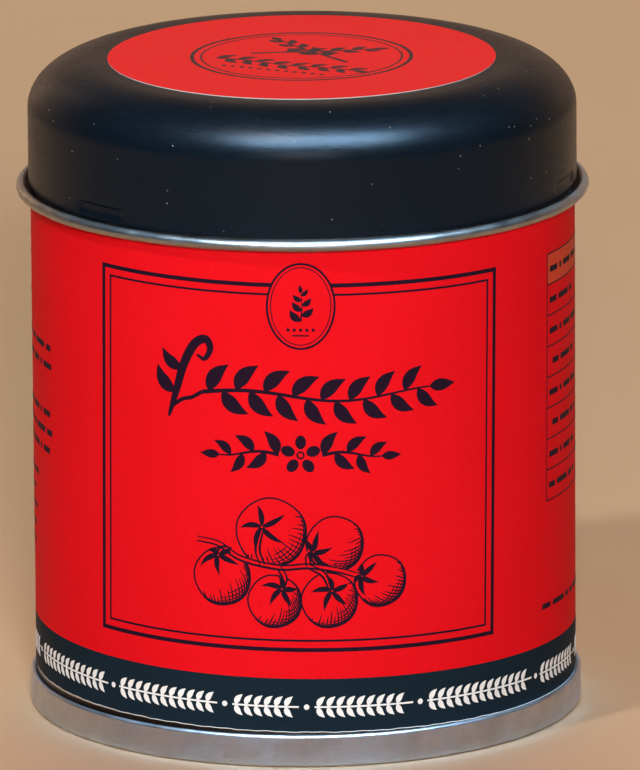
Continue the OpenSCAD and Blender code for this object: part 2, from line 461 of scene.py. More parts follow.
def make_soft(name, colour, other, roughness, grain_scale, depth, through):
    """Plastic or foam that lets a little light through, with a fine surface grain."""
    made, shader = plain_material(name, colour, roughness)
    shader.inputs["Subsurface Weight"].default_value = through
    shader.inputs["Subsurface Radius"].default_value = (0.001, 0.001, 0.0009)
    grain = noise(made, place(made), grain_scale, 3.0)
    wire(made, mix_colours(made, grain, colour, other), shader.inputs["Base Color"])
    bump(made, shader, grain, depth)
    return made


red_paper = make_print("red_label_paper", (0.86, 0.0085, 0.017), (0.70, 0.005, 0.010), 0.50, 0.015)
red_sticker = make_print("red_sticker_paper", (0.98, 0.022, 0.024), (0.90, 0.016, 0.018), 0.52, 0.08)
white_core = make_print("white_paper_core", (0.80, 0.79, 0.76), (0.66, 0.65, 0.62), 0.75, 0.30)
navy_ink = make_print("navy_ink", (0.020, 0.008, 0.022), (0.012, 0.005, 0.016), 0.50, 0.035)
band_ink = make_print("black_band_ink", (0.012, 0.026, 0.040), (0.008, 0.017, 0.028), 0.46, 0.015)
white_ink = make_print("white_ink", (0.94, 0.96, 0.98), (0.86, 0.88, 0.90), 0.5, 0.10)
brown_ink = make_print("sticker_ink", (0.055, 0.010, 0.010), (0.035, 0.007, 0.008), 0.5, 0.30)
pale_ink = make_print("table_head_ink", (0.72, 0.075, 0.030), (0.60, 0.055, 0.022), 0.5, 0.05)
insert_plastic = make_soft(
    "insert_plastic", (0.83, 0.83, 0.81), (0.78, 0.78, 0.76), 0.38,
    grain_scale=1800, depth=0.000006, through=0.25,
)
seal_foam = make_soft(
    "seal_foam", (0.86, 0.86, 0.84), (0.76, 0.76, 0.74), 0.8,
    grain_scale=5200, depth=0.00002, through=0.15,
)
print("materials:", len(bpy.data.materials))

# %% [markdown]
# ## The tin's wall
# The wall is one strip of tinplate, welded at the back. Its lower end is hooked into the base seam and
# its upper end leans out and is rolled over into a round curl. It could be a cylinder with a torus on
# top, but then the curl would have no slit and the sheet no thickness. Here it is one bent sheet. The
# leaning part leaves a groove under the lid's edge, with painted shade. Handling leaves small nicks on
# the curl, which are shallow dips at a few places round it. The line that leans at an angle a meets the
# curl's circle where the circle has turned by 90 degrees + a, so both have the same direction there.

# %% Spin the wall with its rolled rim
SEAM_LAYER = (seam_r - wall_r) / 3
SEAM_GAP = SEAM_LAYER - SHEET
RIM_HEIGHT = 1.36 * MM
RIM_SLIT = 0.12 * MM
RIM_LEAN = 50
HOOK = 2.2 * MM
COVER_HOOK = 2.3 * MM

wall_mid = wall_r - SHEET / 2
chuck_mid = wall_mid - SEAM_LAYER
cover_mid = wall_mid + SEAM_LAYER
hook_mid = wall_mid + 2 * SEAM_LAYER
outer_mid = wall_mid + 3 * SEAM_LAYER
hook_base = SHEET + 2 * SEAM_GAP + SHEET / 2 + SEAM_LAYER
cover_top = seam_top - SHEET / 2 - SEAM_LAYER
rim_z = rim_top - RIM_HEIGHT / 2
curl = RIM_HEIGHT / 2 - SHEET / 2
rim_far = rim_r - SHEET / 2 - curl
lean = math.radians(RIM_LEAN)
meet_r = rim_far - curl * math.sin(lean)
flare_z = rim_z + curl * math.cos(lean) - (meet_r - wall_mid) * math.tan(lean)
tucked = max(0, rim_z - curl + SHEET / 2 - flare_z) / math.tan(lean)
rim_end = wall_mid + tucked + SHEET / 2 / math.sin(lean) + RIM_SLIT
flare_wide = meet_r - wall_mid
flare_high = flare_wide * math.tan(lean)
wall_path = np.concatenate([
    [[hook_mid, hook_base + HOOK]],
    arc((cover_mid, hook_base), SEAM_LAYER, 0, -180),
    [[wall_mid, z] for z in np.linspace(seam_top, flare_z, 24)],
    [[wall_mid + share * flare_wide, flare_z + share * flare_high] for share in (0.3, 0.7)],
    arc((rim_far, rim_z), curl, 90 + RIM_LEAN, -90, 32),
    [[rim_end, rim_z - curl]],
])

# Direction from the front in degrees, half width in mm and depth in mm of each nick in the rim
NICKS = [
    (-84, 0.9, 0.07), (-73, 0.7, 0.07), (-64, 1.2, 0.12), (-52, 0.6, 0.07), (-47, 0.8, 0.05),
    (-35, 0.9, 0.12), (-9, 0.7, 0.05), (38, 0.9, 0.05), (57, 0.7, 0.07), (75, 1.1, 0.06),
    (118, 1.2, 0.08), (-140, 0.9, 0.09), (168, 1.0, 0.05),
]


def nicks_at(turn, radius, height):
    """How far the rim is pushed in: a bell curve, exp(-x^2), round each nick, and slow waves that the
    rolling leaves."""
    depth = 0.012 * MM * np.sin(9 * turn + 0.7) + 0.008 * MM * np.sin(23 * turn)
    for direction, half, deep in NICKS:
        away = np.angle(np.exp(1j * (turn - math.radians(direction)))) * rim_r
        depth = depth + deep * MM * np.exp(-(away / (half * MM)) ** 2)
    return -depth * step_up(radius, wall_r + 0.5 * MM, rim_r - 0.2 * MM)


add_piece(
    "tin_wall",
    spun("tin_wall", sheet_outline(wall_path), nicks_at),
    "tin", [wall_tin], ["body_shell"],
)

# %% [markdown]
# ## The base
# The base is stamped from a second sheet. Two raised rings stiffen its panel. Its edge runs down,
# turns under the wall, up the outside and back down inside, which locks it to the wall's hook. The
# seam roller leaves faint waves and a few dimples round the outside.

# %% Spin the base and its double seam
PANEL_RISE = 3.2 * MM
PANEL_CORNER = 0.6 * MM
RING_RISE = 0.5 * MM
RING_HALF = 2.3 * MM
RING_EDGE = 0.9 * MM
RING_PLACES = (0.3, 0.62)
BASE_COLUMNS = 400

panel_mid = PANEL_RISE + SHEET / 2
panel_edge = chuck_mid - PANEL_CORNER
panel_r = np.linspace(0, panel_edge, 57)[:-1]
rings = sum(hump(panel_r, share * panel_edge, RING_HALF, RING_EDGE) for share in RING_PLACES)
panel_z = panel_mid + RING_RISE * rings
base_path = np.concatenate([
    np.stack([panel_r, panel_z], axis=-1),
    arc((panel_edge, panel_mid - PANEL_CORNER), PANEL_CORNER, 90, 0, 6),
    arc((chuck_mid + SEAM_LAYER, SHEET / 2 + SEAM_LAYER), SEAM_LAYER, 180, 270, 8),
    arc((outer_mid - SEAM_LAYER, SHEET / 2 + SEAM_LAYER), SEAM_LAYER, 270, 360, 8),
    [[outer_mid, z] for z in np.linspace(SHEET / 2 + 2 * SEAM_LAYER, cover_top - SEAM_LAYER, 9)],
    arc((hook_mid, cover_top), SEAM_LAYER, 0, 180, 16),
    [[cover_mid, cover_top - COVER_HOOK]],
])

# Direction from the front in degrees, half width in mm and depth in mm of each dimple in the seam
DIMPLES = [
    (-66, 1.6, 0.05), (-22, 2.2, 0.03), (31, 1.4, 0.04), (47, 0.9, 0.07), (55, 1.1, 0.06), (62, 0.9, 0.07),
    (140, 1.8, 0.06),
]


def seam_waves(turn, radius, height):
    """Waves of the seam roller and small dimples, on the outer layer only."""
    depth = 0.010 * MM * (1 + np.sin(14 * turn)) + 0.004 * MM * (1 + np.sin(61 * turn + 1))
    for direction, half, deep in DIMPLES:
        away = np.angle(np.exp(1j * (turn - math.radians(direction)))) * seam_r
        lift = (height - 2.2 * MM) / (1.3 * MM)
        depth = depth + deep * MM * np.exp(-(away / (half * MM)) ** 2 - lift**2)
    return -depth * step_up(radius, outer_mid - 0.3 * MM, outer_mid)


add_piece(
    "tin_base",
    spun("tin_base", sheet_outline(base_path), seam_waves, columns=BASE_COLUMNS),
    "tin", [dull_tin], ["base_end"],
)
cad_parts["seam_compound"].data.materials.clear()
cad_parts["seam_compound"].data.materials.append(compound)

# %% [markdown]
# ## The neck
# The neck is a plain sleeve pressed into the tin, with a slightly eased edge where the lid slides on.
# Its own weld line stands at the back, as the wall's does inside.

# %% Spin the neck and lay both welds
neck_r = outer_radius("neck_collar")
neck_low = low_end("neck_collar")
neck_top = top_end("neck_collar")
neck_in = neck_r - SHEET
neck_corners = [(neck_in, neck_low), (neck_r, neck_low), (neck_r, neck_top), (neck_in, neck_top)]
neck_outline = rounded(neck_corners, 0.09 * MM)


def around(way, height, radius):
    """Point on the tin: way is the distance from the front towards the right, measured on the paper."""
    turn = way / paper_r
    return np.stack([radius * np.sin(turn), -radius * np.cos(turn), height + 0 * turn], axis=-1)


def weld_strip(name, radius, low, high, half, rise):
    """Weld bead at the back: a low ridge, 1 - x^2 across, on the inside of a sleeve."""
    across = np.linspace(-1, 1, 9)
    along = np.linspace(low, high, 60)
    way = np.pi * paper_r + across[None, :] * half + 0 * along[:, None]
    z = along[:, None] + 0 * across[None, :]
    beads = 0.8 + 0.2 * np.cos(along / (0.25 * MM))[:, None]
    top = around(way, z, radius - rise * (1 - across[None, :] ** 2) * beads)
    return closed_mesh(name, *slab(top, around(way, z, radius + 0.05 * MM)))


add_piece(
    "neck_sleeve", spun("neck_sleeve", neck_outline), "tin", [bright_tin], ["neck_collar"],
)
add_piece(
    "wall_weld",
    weld_strip("wall_weld", wall_r - SHEET, PANEL_RISE + 2 * MM, neck_low - 1 * MM, 0.4 * MM, 0.07 * MM),
    "tin", [dull_tin],
)
add_piece(
    "neck_weld",
    weld_strip(
        "neck_weld", neck_in, neck_low + 0.2 * MM, low_end("shaker_insert") - 0.2 * MM, 0.35 * MM, 0.05 * MM,
    ),
    "tin", [dull_tin],
)

# %% [markdown]
# ## The shaker insert
# The insert is one moulding in polypropylene: a skirt that grips the neck, a deck that rests on it and
# a raised top with rings of holes. Its body is a lathe. The holes are cut with rods that flare at both
# faces, so that each hole comes out with the rounded edge of a moulded one.

# %% Spin the insert and cut its holes
INSERT_WALL = 0.8 * MM
SHAKER_R = 20.5 * MM
HOLE_R = 1.8 * MM
HOLE_PITCH = 6.2 * MM
HOLE_EDGE = 0.22 * MM
NOTCH_HALF = 4.5 * MM
NOTCH_IN = 1.1 * MM

deck_r = outer_radius("shaker_insert")
skirt_r = neck_in - 0.05 * MM
skirt_low = low_end("shaker_insert")
shaker_top = top_end("shaker_insert")
deck_top = neck_top + INSERT_WALL
insert_outline = rounded(
    [
        (SHAKER_R, shaker_top), (SHAKER_R, deck_top), (deck_r, deck_top), (deck_r, neck_top),
        (skirt_r, neck_top), (skirt_r, skirt_low), (skirt_r - INSERT_WALL, skirt_low),
        (skirt_r - INSERT_WALL, neck_top),
        (SHAKER_R - INSERT_WALL, neck_top), (SHAKER_R - INSERT_WALL, shaker_top - INSERT_WALL),
        (0, shaker_top - INSERT_WALL), (0, shaker_top),
    ],
    np.array([0.6, 0.35, 0.22, 0.12, 0.03, 0.25, 0.25, 0.25, 0.3, 0.3, 0, 0]) * MM,
)
insert_outline = insert_outline[np.r_[True, np.linalg.norm(np.diff(insert_outline, axis=0), axis=1) > 1e-8]]


def nail_notches(turn, radius, height):
    """How far the deck's edge is set back beside +X and -X: the notch is flat, so its radius is
    (deck radius - depth) / cos(angle from the axis), eased at its ends."""
    away = np.minimum(np.abs(np.abs(turn) - np.pi / 2), np.pi / 4)
    flat = (deck_r - NOTCH_IN) / np.cos(away)
    inside = 1 - step_up(deck_r * np.sin(away), NOTCH_HALF - 0.5 * MM, NOTCH_HALF)
    on_deck = (height > neck_top + 0.01 * MM) & (radius > SHAKER_R + 2 * MM)
    return -np.maximum(radius - flat, 0) * inside * on_deck


def hole_rod():
    """Profile of a rod that is as thick as the hole and flares as a quarter circle at both faces."""
    bottom = shaker_top - INSERT_WALL
    upper = arc((HOLE_R + HOLE_EDGE, shaker_top - HOLE_EDGE), HOLE_EDGE, 180, 90, 5)
    lower = arc((HOLE_R + HOLE_EDGE, bottom + HOLE_EDGE), HOLE_EDGE, 270, 180, 5)
    side = np.concatenate([lower, upper])
    over = 0.4 * MM
    ends = [[0, shaker_top + over], [0, bottom - over], [side[0, 0], bottom - over]]
    return np.concatenate([ends, side, [[side[-1, 0], shaker_top + over]]])


def hole_places():
    """Middle hole and two rings of 6 and 12 holes."""
    places = [(0.0, 0.0)]
    for ring in (1, 2):
        for number in range(6 * ring):
            angle = math.radians(number * 60 / ring)
            places.append((ring * HOLE_PITCH * math.cos(angle), ring * HOLE_PITCH * math.sin(angle)))
    return np.array(places)


def cut_with(piece, cutter):
    """Takes the cutter's volume out of a piece's mesh and removes the cutter."""
    modifier = piece.modifiers.new("cut", "BOOLEAN")
    modifier.operation = "DIFFERENCE"
    modifier.solver = "EXACT"
    modifier.object = cutter
    result = bpy.data.meshes.new_from_object(piece.evaluated_get(bpy.context.evaluated_depsgraph_get()))
    piece.modifiers.clear()
    piece.data = result
    bpy.data.objects.remove(cutter)
    result.shade_smooth()
    result.set_sharp_from_angle(angle=math.radians(35))


shaker_lathe = spun("shaker_lathe", insert_outline, nail_notches, columns=384)
shaker_plate = add_piece(
    "shaker_plate", shaker_lathe, "insert", [insert_plastic], ["shaker_insert"],
)
rod = spun("hole_rod", hole_rod(), columns=48)
rod_points = np.zeros(len(rod.vertices) * 3)
rod.vertices.foreach_get("co", rod_points)
rods = []
for number, (x, y) in enumerate(hole_places()):
    one = rod.copy()
    one.vertices.foreach_set("co", (rod_points.reshape(-1, 3) + [x, y, 0]).ravel())
    rods.append(one)
together = bmesh.new()
for one in rods:
    together.from_mesh(one)
cutter_mesh = bpy.data.meshes.new("hole_rods")
together.to_mesh(cutter_mesh)
together.free()
hole_cutter = bpy.data.objects.new("hole_rods", cutter_mesh)
bpy.context.scene.collection.objects.link(hole_cutter)
bpy.context.view_layer.update()
cut_with(shaker_plate, hole_cutter)
print("shaker plate:", len(shaker_plate.data.polygons), "faces with", len(rods), "holes")

# %% [markdown]
# ## The sealing disc
# A disc of soft foam lies under the lid's top and closes the holes. Its edge is rounded from the
# punch, and the rim of the shaker top has pressed a shallow ring into its underside.

# %% Spin the disc
seal_r = outer_radius("seal_disc")
seal_low = low_end("seal_disc")
seal_top = top_end("seal_disc")
under_r = np.linspace(0, seal_r - 0.4 * MM, 60)
imprint = 0.10 * MM * hump(under_r, SHAKER_R - 0.2 * MM, 0.35 * MM, 0.5 * MM)
seal_outline = np.concatenate([
    np.stack([under_r, seal_low + imprint], axis=-1),
    arc((seal_r - 0.35 * MM, seal_low + 0.35 * MM), 0.35 * MM, 270, 360, 6),
    arc((seal_r - 0.25 * MM, seal_top - 0.25 * MM), 0.25 * MM, 0, 90, 6),
    [[0, seal_top]],
])
add_piece(
    "sealing_disc", spun("sealing_disc", seal_outline, columns=256), "seal", [seal_foam], ["seal_disc"],
)

# %% [markdown]
# ## The lid
# The lid is drawn from lacquered sheet: a flat top, an elliptical shoulder and a straight wall with
# three dents that grip the neck. Its outside is lacquered and its inside is bare tinplate, so the
# profile carries two finishes. The dents move the sheet, both faces together, so it stays one sheet.

# %% Spin the lid and press its dents
SHOULDER_WIDE = 8 * MM
SHOULDER_HIGH = 5.76 * MM
DENT_COUNT = 3
DENT_TURN = -47
DENT_LONG = 8.5 * MM
DENT_HIGH = 1.7 * MM
DENT_LIFT = 0.4 * MM
DENT_DEEP = 0.30 * MM

shoulder = np.radians(np.linspace(0, 90, 37))
flat_r = lid_r - SHOULDER_WIDE
lid_mid = lid_r - SHEET / 2
shoulder_low = lid_top - SHOULDER_HIGH
lid_path = np.concatenate([
    [[lid_mid, z] for z in np.linspace(lid_low, lid_low + 3.2 * MM, 25)],
    [[lid_mid, z] for z in np.linspace(lid_low + 3.8 * MM, shoulder_low - 0.4 * MM, 8)],
    np.stack([
        flat_r + (SHOULDER_WIDE - SHEET / 2) * np.cos(shoulder),
        shoulder_low + (SHOULDER_HIGH - SHEET / 2) * np.sin(shoulder),
    ], axis=-1),
    [[r, lid_top - SHEET / 2] for r in np.linspace(flat_r, 0, 9)[1:]],
])


def dents_at(turn, radius, height):
    """How far the wall is pressed in: a trough with a flat bottom, one hump round the lid times one in
    height."""
    middle = lid_low + DENT_LIFT + DENT_HIGH / 2
    depth = 0 * turn
    for number in range(DENT_COUNT):
        direction = math.radians(DENT_TURN + number * 360 / DENT_COUNT)
        away = np.angle(np.exp(1j * (turn - direction))) * lid_r
        depth = depth + hump(away, 0, DENT_LONG / 2 - 0.5 * MM, 1.0 * MM)
    return -DENT_DEEP * depth * hump(height, middle, DENT_HIGH / 2 - 0.25 * MM, 0.5 * MM)


lid_outline = sheet_outline(lid_path)
inside_first = np.r_[np.ones(len(lid_path)), np.zeros(len(lid_path))]
outside_is_first = lid_outline[0, 0] > lid_outline[-1, 0]
lid_finishes = 1 - inside_first if outside_is_first else inside_first
add_piece(
    "slip_lid",
    spun("slip_lid", lid_outline, dents_at, lid_finishes),
    "lid", [lacquer, bright_tin], ["lid_shell"],
)

# %% [markdown]
# ## The wall label
# The label is a strip of printed paper, wrapped once round the wall a fraction of a degree off square,
# with its right end glued over its left end at the back. The seam and the rim stop it below and above.
# Everything printed on it shares one map from the flat sheet to the wall, so the print leans with the
# paper and climbs over the lap with it. The face is red, and the cut edges show the white core.

# %% Wrap the paper and map flat drawings onto it
LEAN = math.radians(0.8)
LAP = 5.0 * MM
LABEL_MID = 34.0 * MM
LOWER_CUT = 4.23 * MM
UPPER_CUT = 64.40 * MM
INK_LOW = -0.012 * MM
INK_HIGH = 0.016 * MM

label_end = np.pi * paper_r + LAP / 2
corner_z = seam_top - 0.12 * MM
under_rim = rim_top - RIM_HEIGHT - 0.17 * MM


def lifted(way):
    """Radius of the paper's face: it climbs one thickness just before the end that it laps over."""
    return paper_r + PAPER * step_up(way, label_end - LAP - 1.2 * MM, label_end - LAP)


def lower_edge(s):
    """Height of the paper's lower edge: a straight cut that leans, stopped by the base seam."""
    ripple = 0.025 * MM * (np.sin(s / (0.9 * MM)) + np.sin(s / (0.37 * MM) + 1))
    return np.maximum(corner_z, LOWER_CUT - s * math.sin(LEAN) + ripple)


def upper_edge(s):
    """Height of the paper's upper edge: parallel to the lower one, stopped by the rim."""
    return np.minimum(under_rim, UPPER_CUT - s * math.sin(LEAN))


def on_label(flat, lift):
    """Flat drawing to the wall: turned by the lean about the front's middle and then wrapped, so that the
    way round is s cos + h sin and the height is middle + h cos - s sin."""
    s, h = flat[..., 0], flat[..., 1]
    way = s * math.cos(LEAN) + h * math.sin(LEAN)
    height = LABEL_MID + h * math.cos(LEAN) - s * math.sin(LEAN)
    return around(way, height, lifted(way) + lift)


def paper_face(s, low, high, rows, lift):
    """Grid on the paper from one edge to another, where both edges are heights at each s. The first row
    is very low, so that it can carry the torn white edge."""
    share = np.r_[0, 0.0018, np.linspace(0, 1, rows - 1)[1:]][None, :]
    height = low[:, None] + (high - low)[:, None] * share
    h = (height - LABEL_MID + s[:, None] * math.sin(LEAN)) / math.cos(LEAN)
    way = s[:, None] * math.cos(LEAN) + h * math.sin(LEAN)
    return around(way, height, lifted(way) + lift)


def paper_finishes(rows, across):
    """0, the printed face, on the slab's top and 1, the core, on its lowest row, its edges and its back."""
    columns = np.tile(np.r_[1, np.zeros(across - 2), np.ones(across + 1)], rows - 1)
    return np.r_[columns, np.ones(2 * (across - 1))]


label_s = np.linspace(-label_end, label_end, 561)
label_rows = 28
label_low = lower_edge(label_s)
label_high = upper_edge(label_s)
label_grids = [paper_face(label_s, label_low, label_high, label_rows, lift) for lift in (0, -PAPER)]
add_piece(
    "wall_label",
    closed_mesh("wall_label", *slab(*label_grids), paper_finishes(len(label_s), label_rows)),
    "tin", [red_paper, white_core], ["body_label"],
)

# %% [markdown]
# ## Ink as thin strips
# A pen stroke, a leaf, a bar and a ruled line are all strips: a middle line and a half width along it.
# A strip needs points every millimetre or less, because it has to follow the round wall.

# %% Strips, smooth lines and leaves
PEN_END = 0.02 * MM


def strip(line, half):
    """A stroke: its middle line, and its half width at each point, never quite nothing."""
    line = np.array(line, float)
    return line, np.maximum(np.broadcast_to(half, len(line)), PEN_END)


def ink_mesh(name, strips, surface, low=INK_LOW, high=INK_HIGH, across=3):
    """Closed strips on a surface: each point of a middle line is moved sideways by -1 to 1 half widths,
    and the flat strip is laid on the surface twice, as the ink's face and its underside. Each strip lies
    a hair higher than the one before it, so that no two faces fall together where strips cross."""
    all_points, all_faces, start = [], [], 0
    share = np.linspace(-1, 1, across)[None, :, None]
    for number, (line, half) in enumerate(strips):
        flat = line[:, None] + sideways(line)[:, None] * half[:, None, None] * share
        hair = 0.0006 * MM * (number % 12)
        points, faces = slab(surface(flat, high + hair), surface(flat, low))
        all_points.append(points)
        all_faces.append(faces + start)
        start += len(points)
    return closed_mesh(name, np.concatenate(all_points), np.concatenate(all_faces))


def straight(start, end, half, longest=0.8 * MM):
    """Straight bar with points close enough together to bend round the wall."""
    line = with_steps(np.array([start, end], float), longest)
    return strip(line, half)


def smooth_line(points, count):
    """Curve through points: on each stretch a cubic whose slope at a point is half the way between that
    point's neighbours."""
    p = np.array(points, float)
    p = np.concatenate([2 * p[:1] - p[1:2], p, 2 * p[-1:] - p[-2:-1]])
    u = np.linspace(0, len(p) - 3 - 1e-9, count)
    i = u.astype(int)
    t = (u - i)[:, None]
    a, b, c, d = p[i], p[i + 1], p[i + 2], p[i + 3]
    return b + 0.5 * t * (c - a + t * (2 * a - 5 * b + 4 * c - d + t * (3 * (b - c) + d - a)))


def leaf(base, angle, length, half, bend=0.15, count=9):
    """A leaf: a slightly bent midrib, with a half width that follows sin(pi t^0.8) and ends in a point."""
    t = np.linspace(0, 1, count)
    along = np.array([math.cos(angle), math.sin(angle)])
    across = np.array([-along[1], along[0]])
    line = np.array(base) + length * (t[:, None] * along + bend * np.sin(np.pi * t)[:, None] * across)
    return strip(line, half * np.sin(np.pi * t**0.8))


def ellipse(centre, wide, high, half, count=73):
    """Outline of an ellipse as one stroke, whose end overlaps its start by one degree."""
    angle = np.radians(np.linspace(0, 361, count))
    line = np.stack([centre[0] + wide * np.cos(angle), centre[1] + high * np.sin(angle)], axis=-1)
    return strip(line, half)


def dot(centre, radius):
    """Filled round dot: a short strip whose half width is the circle's, sqrt(r^2 - x^2)."""
    x = np.linspace(-1, 1, 9) * 0.999
    line = np.array(centre) + radius * np.stack([x, 0 * x], axis=-1)
    return strip(line, radius * np.sqrt(1 - x**2))


def sprig(path, leaf_long, leaf_half, pitch, stem, open_angle=42, taper=0.45, start=0.04, end=0.97):
    """A herb sprig: a tapering stem with leaves in turn to its left and right, shorter towards the tip,
    and one leaf at the tip."""
    path = np.array(path, float)
    run = np.r_[0, np.cumsum(np.linalg.norm(np.diff(path, axis=0), axis=1))]
    total = run[-1]
    strips = [strip(path, stem * (1 - 0.6 * run / total))]
    places = np.arange(start * total, end * total, pitch)
    for number, where in enumerate(places):
        base = [np.interp(where, run, path[:, 0]), np.interp(where, run, path[:, 1])]
        ahead = [np.interp(where + 0.2 * MM, run, path[:, 0]), np.interp(where + 0.2 * MM, run, path[:, 1])]
        heading = math.atan2(ahead[1] - base[1], ahead[0] - base[0])
        side = 1 if number % 2 == 0 else -1
        size = 1 - taper * where / total
        angle = heading + side * math.radians(open_angle)
        strips.append(leaf(base, angle, leaf_long * size, leaf_half * size, 0.12 * side))
    heading = math.atan2(*(path[-1] - path[-3])[::-1])
    strips.append(leaf(path[-1], heading, leaf_long * (1 - taper), leaf_half * (1 - taper), 0.0))
    return strips


def moved(strips, shift=(0, 0), turn=0.0, mirror=False):
    """The same strips mirrored left to right, turned and shifted. A mirrored line is still drawn in the
    same direction, and its sides only change places."""
    cos, sin = math.cos(turn), math.sin(turn)
    result = []
    for line, half in strips:
        x = -line[:, 0] if mirror else line[:, 0]
        y = line[:, 1]
        turned = np.stack([cos * x - sin * y + shift[0], sin * x + cos * y + shift[1]], axis=-1)
        result.append((turned, half))
    return result


# %% [markdown]
# ## The label's frame and medallion
# Two ruled lines, a heavy one and a light one, frame the front. A small oval medallion with a sprig
# interrupts them at the top. The lines stop exactly at the oval, where its half width at their height
# is wide * sqrt(1 - (h / high)^2).

# %% Rule the frame and print the medallion
FRAME_MID = -1.0 * MM
FRAME_HALF = 26.0 * MM
FRAME_LOW = 14.5 * MM - LABEL_MID
FRAME_HIGH = 59.45 * MM - LABEL_MID
LINE_APART = 1.15 * MM
OVAL_MID = (-0.6 * MM, 56.9 * MM - LABEL_MID)
OVAL_WIDE = 4.05 * MM
OVAL_HIGH = 5.2 * MM


def framed(inset, half):
    """One frame line as one stroke, from the oval's right side round the frame to its left side."""
    left = FRAME_MID - FRAME_HALF + inset
    right = FRAME_MID + FRAME_HALF - inset
    low, high = FRAME_LOW + inset, FRAME_HIGH - inset
    gap = OVAL_WIDE * math.sqrt(1 - ((high - OVAL_MID[1]) / OVAL_HIGH) ** 2)
    corners = [
        (OVAL_MID[0] + gap, high), (right, high), (right, low),
        (left, low), (left, high), (OVAL_MID[0] - gap, high),
    ]
    return strip(with_steps(np.array(corners), 0.8 * MM), half)


def small_medallion():
    """Oval of two lines with an upright sprig, and a short row of dots below it."""
    stem = smooth_line([(0, -1.9 * MM), (0.15 * MM, 0), (0, 1.6 * MM)], 13)
    strips = [
        ellipse((0, 0), OVAL_WIDE, OVAL_HIGH, 0.13 * MM),
        ellipse((0, 0), OVAL_WIDE - 0.45 * MM, OVAL_HIGH - 0.45 * MM, 0.06 * MM),
    ]
    strips += sprig(stem, 1.9 * MM, 0.48 * MM, 0.62 * MM, 0.10 * MM, 50)
    strips += [dot((x * MM, -2.9 * MM), 0.20 * MM) for x in (-1.5, -0.75, 0, 0.75, 1.5)]
    strips += [straight((-1.0 * MM, -3.6 * MM), (1.0 * MM, -3.6 * MM), 0.09 * MM)]
    return moved(strips, OVAL_MID)


def print_on_label(name, strips, ink=navy_ink, high=INK_HIGH):
    """Piece of ink on the wall label."""
    mesh = ink_mesh(name, strips, on_label, INK_LOW, high)
    add_piece(name, mesh, "tin", [ink])


print_on_label("frame_lines", [framed(0, 0.25 * MM), framed(LINE_APART, 0.13 * MM)])
print_on_label("label_medallion", small_medallion())

# %% [markdown]
# ## The heading
# Two rows of herb ornament stand where a label would carry its title. The upper row is a long sprig
# that starts in a tall curl at its left, and the lower row is a blossom between two short sprigs.

# %% Draw the two rows of ornament


def blossom(centre, petals, inner, length, half):
    """Flower with an open centre: each petal is a stroke that points outwards, with a half width that
    follows sqrt(sin(pi t)), which makes its ends round."""
    t = np.linspace(0.02, 0.98, 13)
    strips = [ellipse(centre, inner * 0.55, inner * 0.55, 0.11 * MM, count=25)]
    for number in range(petals):
        angle = math.pi / 2 + number * 2 * math.pi / petals
        outwards = np.array([math.cos(angle), math.sin(angle)])
        line = np.array(centre) + (inner + length * t)[:, None] * outwards
        strips.append(strip(line, half * np.sqrt(np.sin(np.pi * t))))
    return strips


def heading_rows():
    """Both rows, in the label's flat coordinates."""
    row_one = 46.0 * MM - LABEL_MID
    row_two = 38.6 * MM - LABEL_MID
    run = np.linspace(-12.6, 15.4, 70) * MM
    wave = row_one - 0.2 * MM + 0.55 * MM * np.sin((run + 12.6 * MM) / (3.6 * MM))
    path = np.stack([run, wave], axis=-1)
    strips = sprig(path, 4.3 * MM, 0.92 * MM, 1.72 * MM, 0.26 * MM, 46, 0.18, 0.03, 0.96)
    tall_points = [
        (-17.0, 42.3), (-16.0, 45.6), (-15.0, 49.0), (-13.6, 51.6), (-12.2, 52.3), (-11.6, 51.2),
        (-12.3, 49.9), (-13.3, 50.3),
    ]
    tall = smooth_line(tall_points, 50) * MM - [0, LABEL_MID]
    pen = 0.42 * MM * (0.35 + np.sin(np.pi * np.linspace(0, 1, 50) ** 0.7))
    strips += [strip(tall, pen)]
    link_points = [(-16.6, 43.6), (-15.2, 44.6), (-13.9, 45.0), (-12.6, 45.8)]
    link = smooth_line(link_points, 20) * MM - [0, LABEL_MID]
    strips += [strip(link, 0.24 * MM)]
    strips += [leaf((-16.1 * MM, 45.4 * MM - LABEL_MID), math.radians(128), 4.0 * MM, 0.85 * MM, 0.14)]
    strips += [leaf((-15.2 * MM, 48.4 * MM - LABEL_MID), math.radians(140), 3.5 * MM, 0.75 * MM, 0.14)]
    side = sprig(np.stack([np.linspace(2.6, 9.8, 24), 0.35 * np.sin(np.linspace(0, 5, 24))], axis=-1) * MM,
                 3.3 * MM, 0.72 * MM, 1.45 * MM, 0.22 * MM, 46, 0.25, 0.02, 0.94)
    strips += moved(side, (-0.5 * MM, row_two)) + moved(side, (-0.5 * MM, row_two), mirror=True)
    return strips + blossom((-0.5 * MM, row_two), 5, 0.72 * MM, 1.75 * MM, 0.66 * MM)


print_on_label("heading_ornament", heading_rows())

# %% [markdown]
# ## The drawing of tomatoes
# The drawing is in the manner of an engraving. Each tomato is a ball with its stalk end at a pole.
# Lines of longitude and latitude on the ball, drawn only where the ball is in shade, give hatching
# that follows its form. A line is dropped where a tomato nearer to the reader, or the vine, covers it.

# %% Engrave the tomatoes and their vine
LIGHT = np.array([-0.55, 0.62, 0.56])
VINE_HALF = 0.34 * MM

# Middle, radius and direction of the stalk end of each tomato, nearest first, in mm and degrees
TOMATOES = [
    (-4.0, 29.0, 4.2, 150, 0.30), (3.1, 20.7, 3.35, 75, 0.35), (-3.5, 20.5, 3.2, 60, 0.55),
    (9.3, 22.9, 3.15, 165, 0.75), (-10.0, 23.2, 3.5, 100, 0.75), (3.7, 27.6, 3.4, 200, 0.80),
]


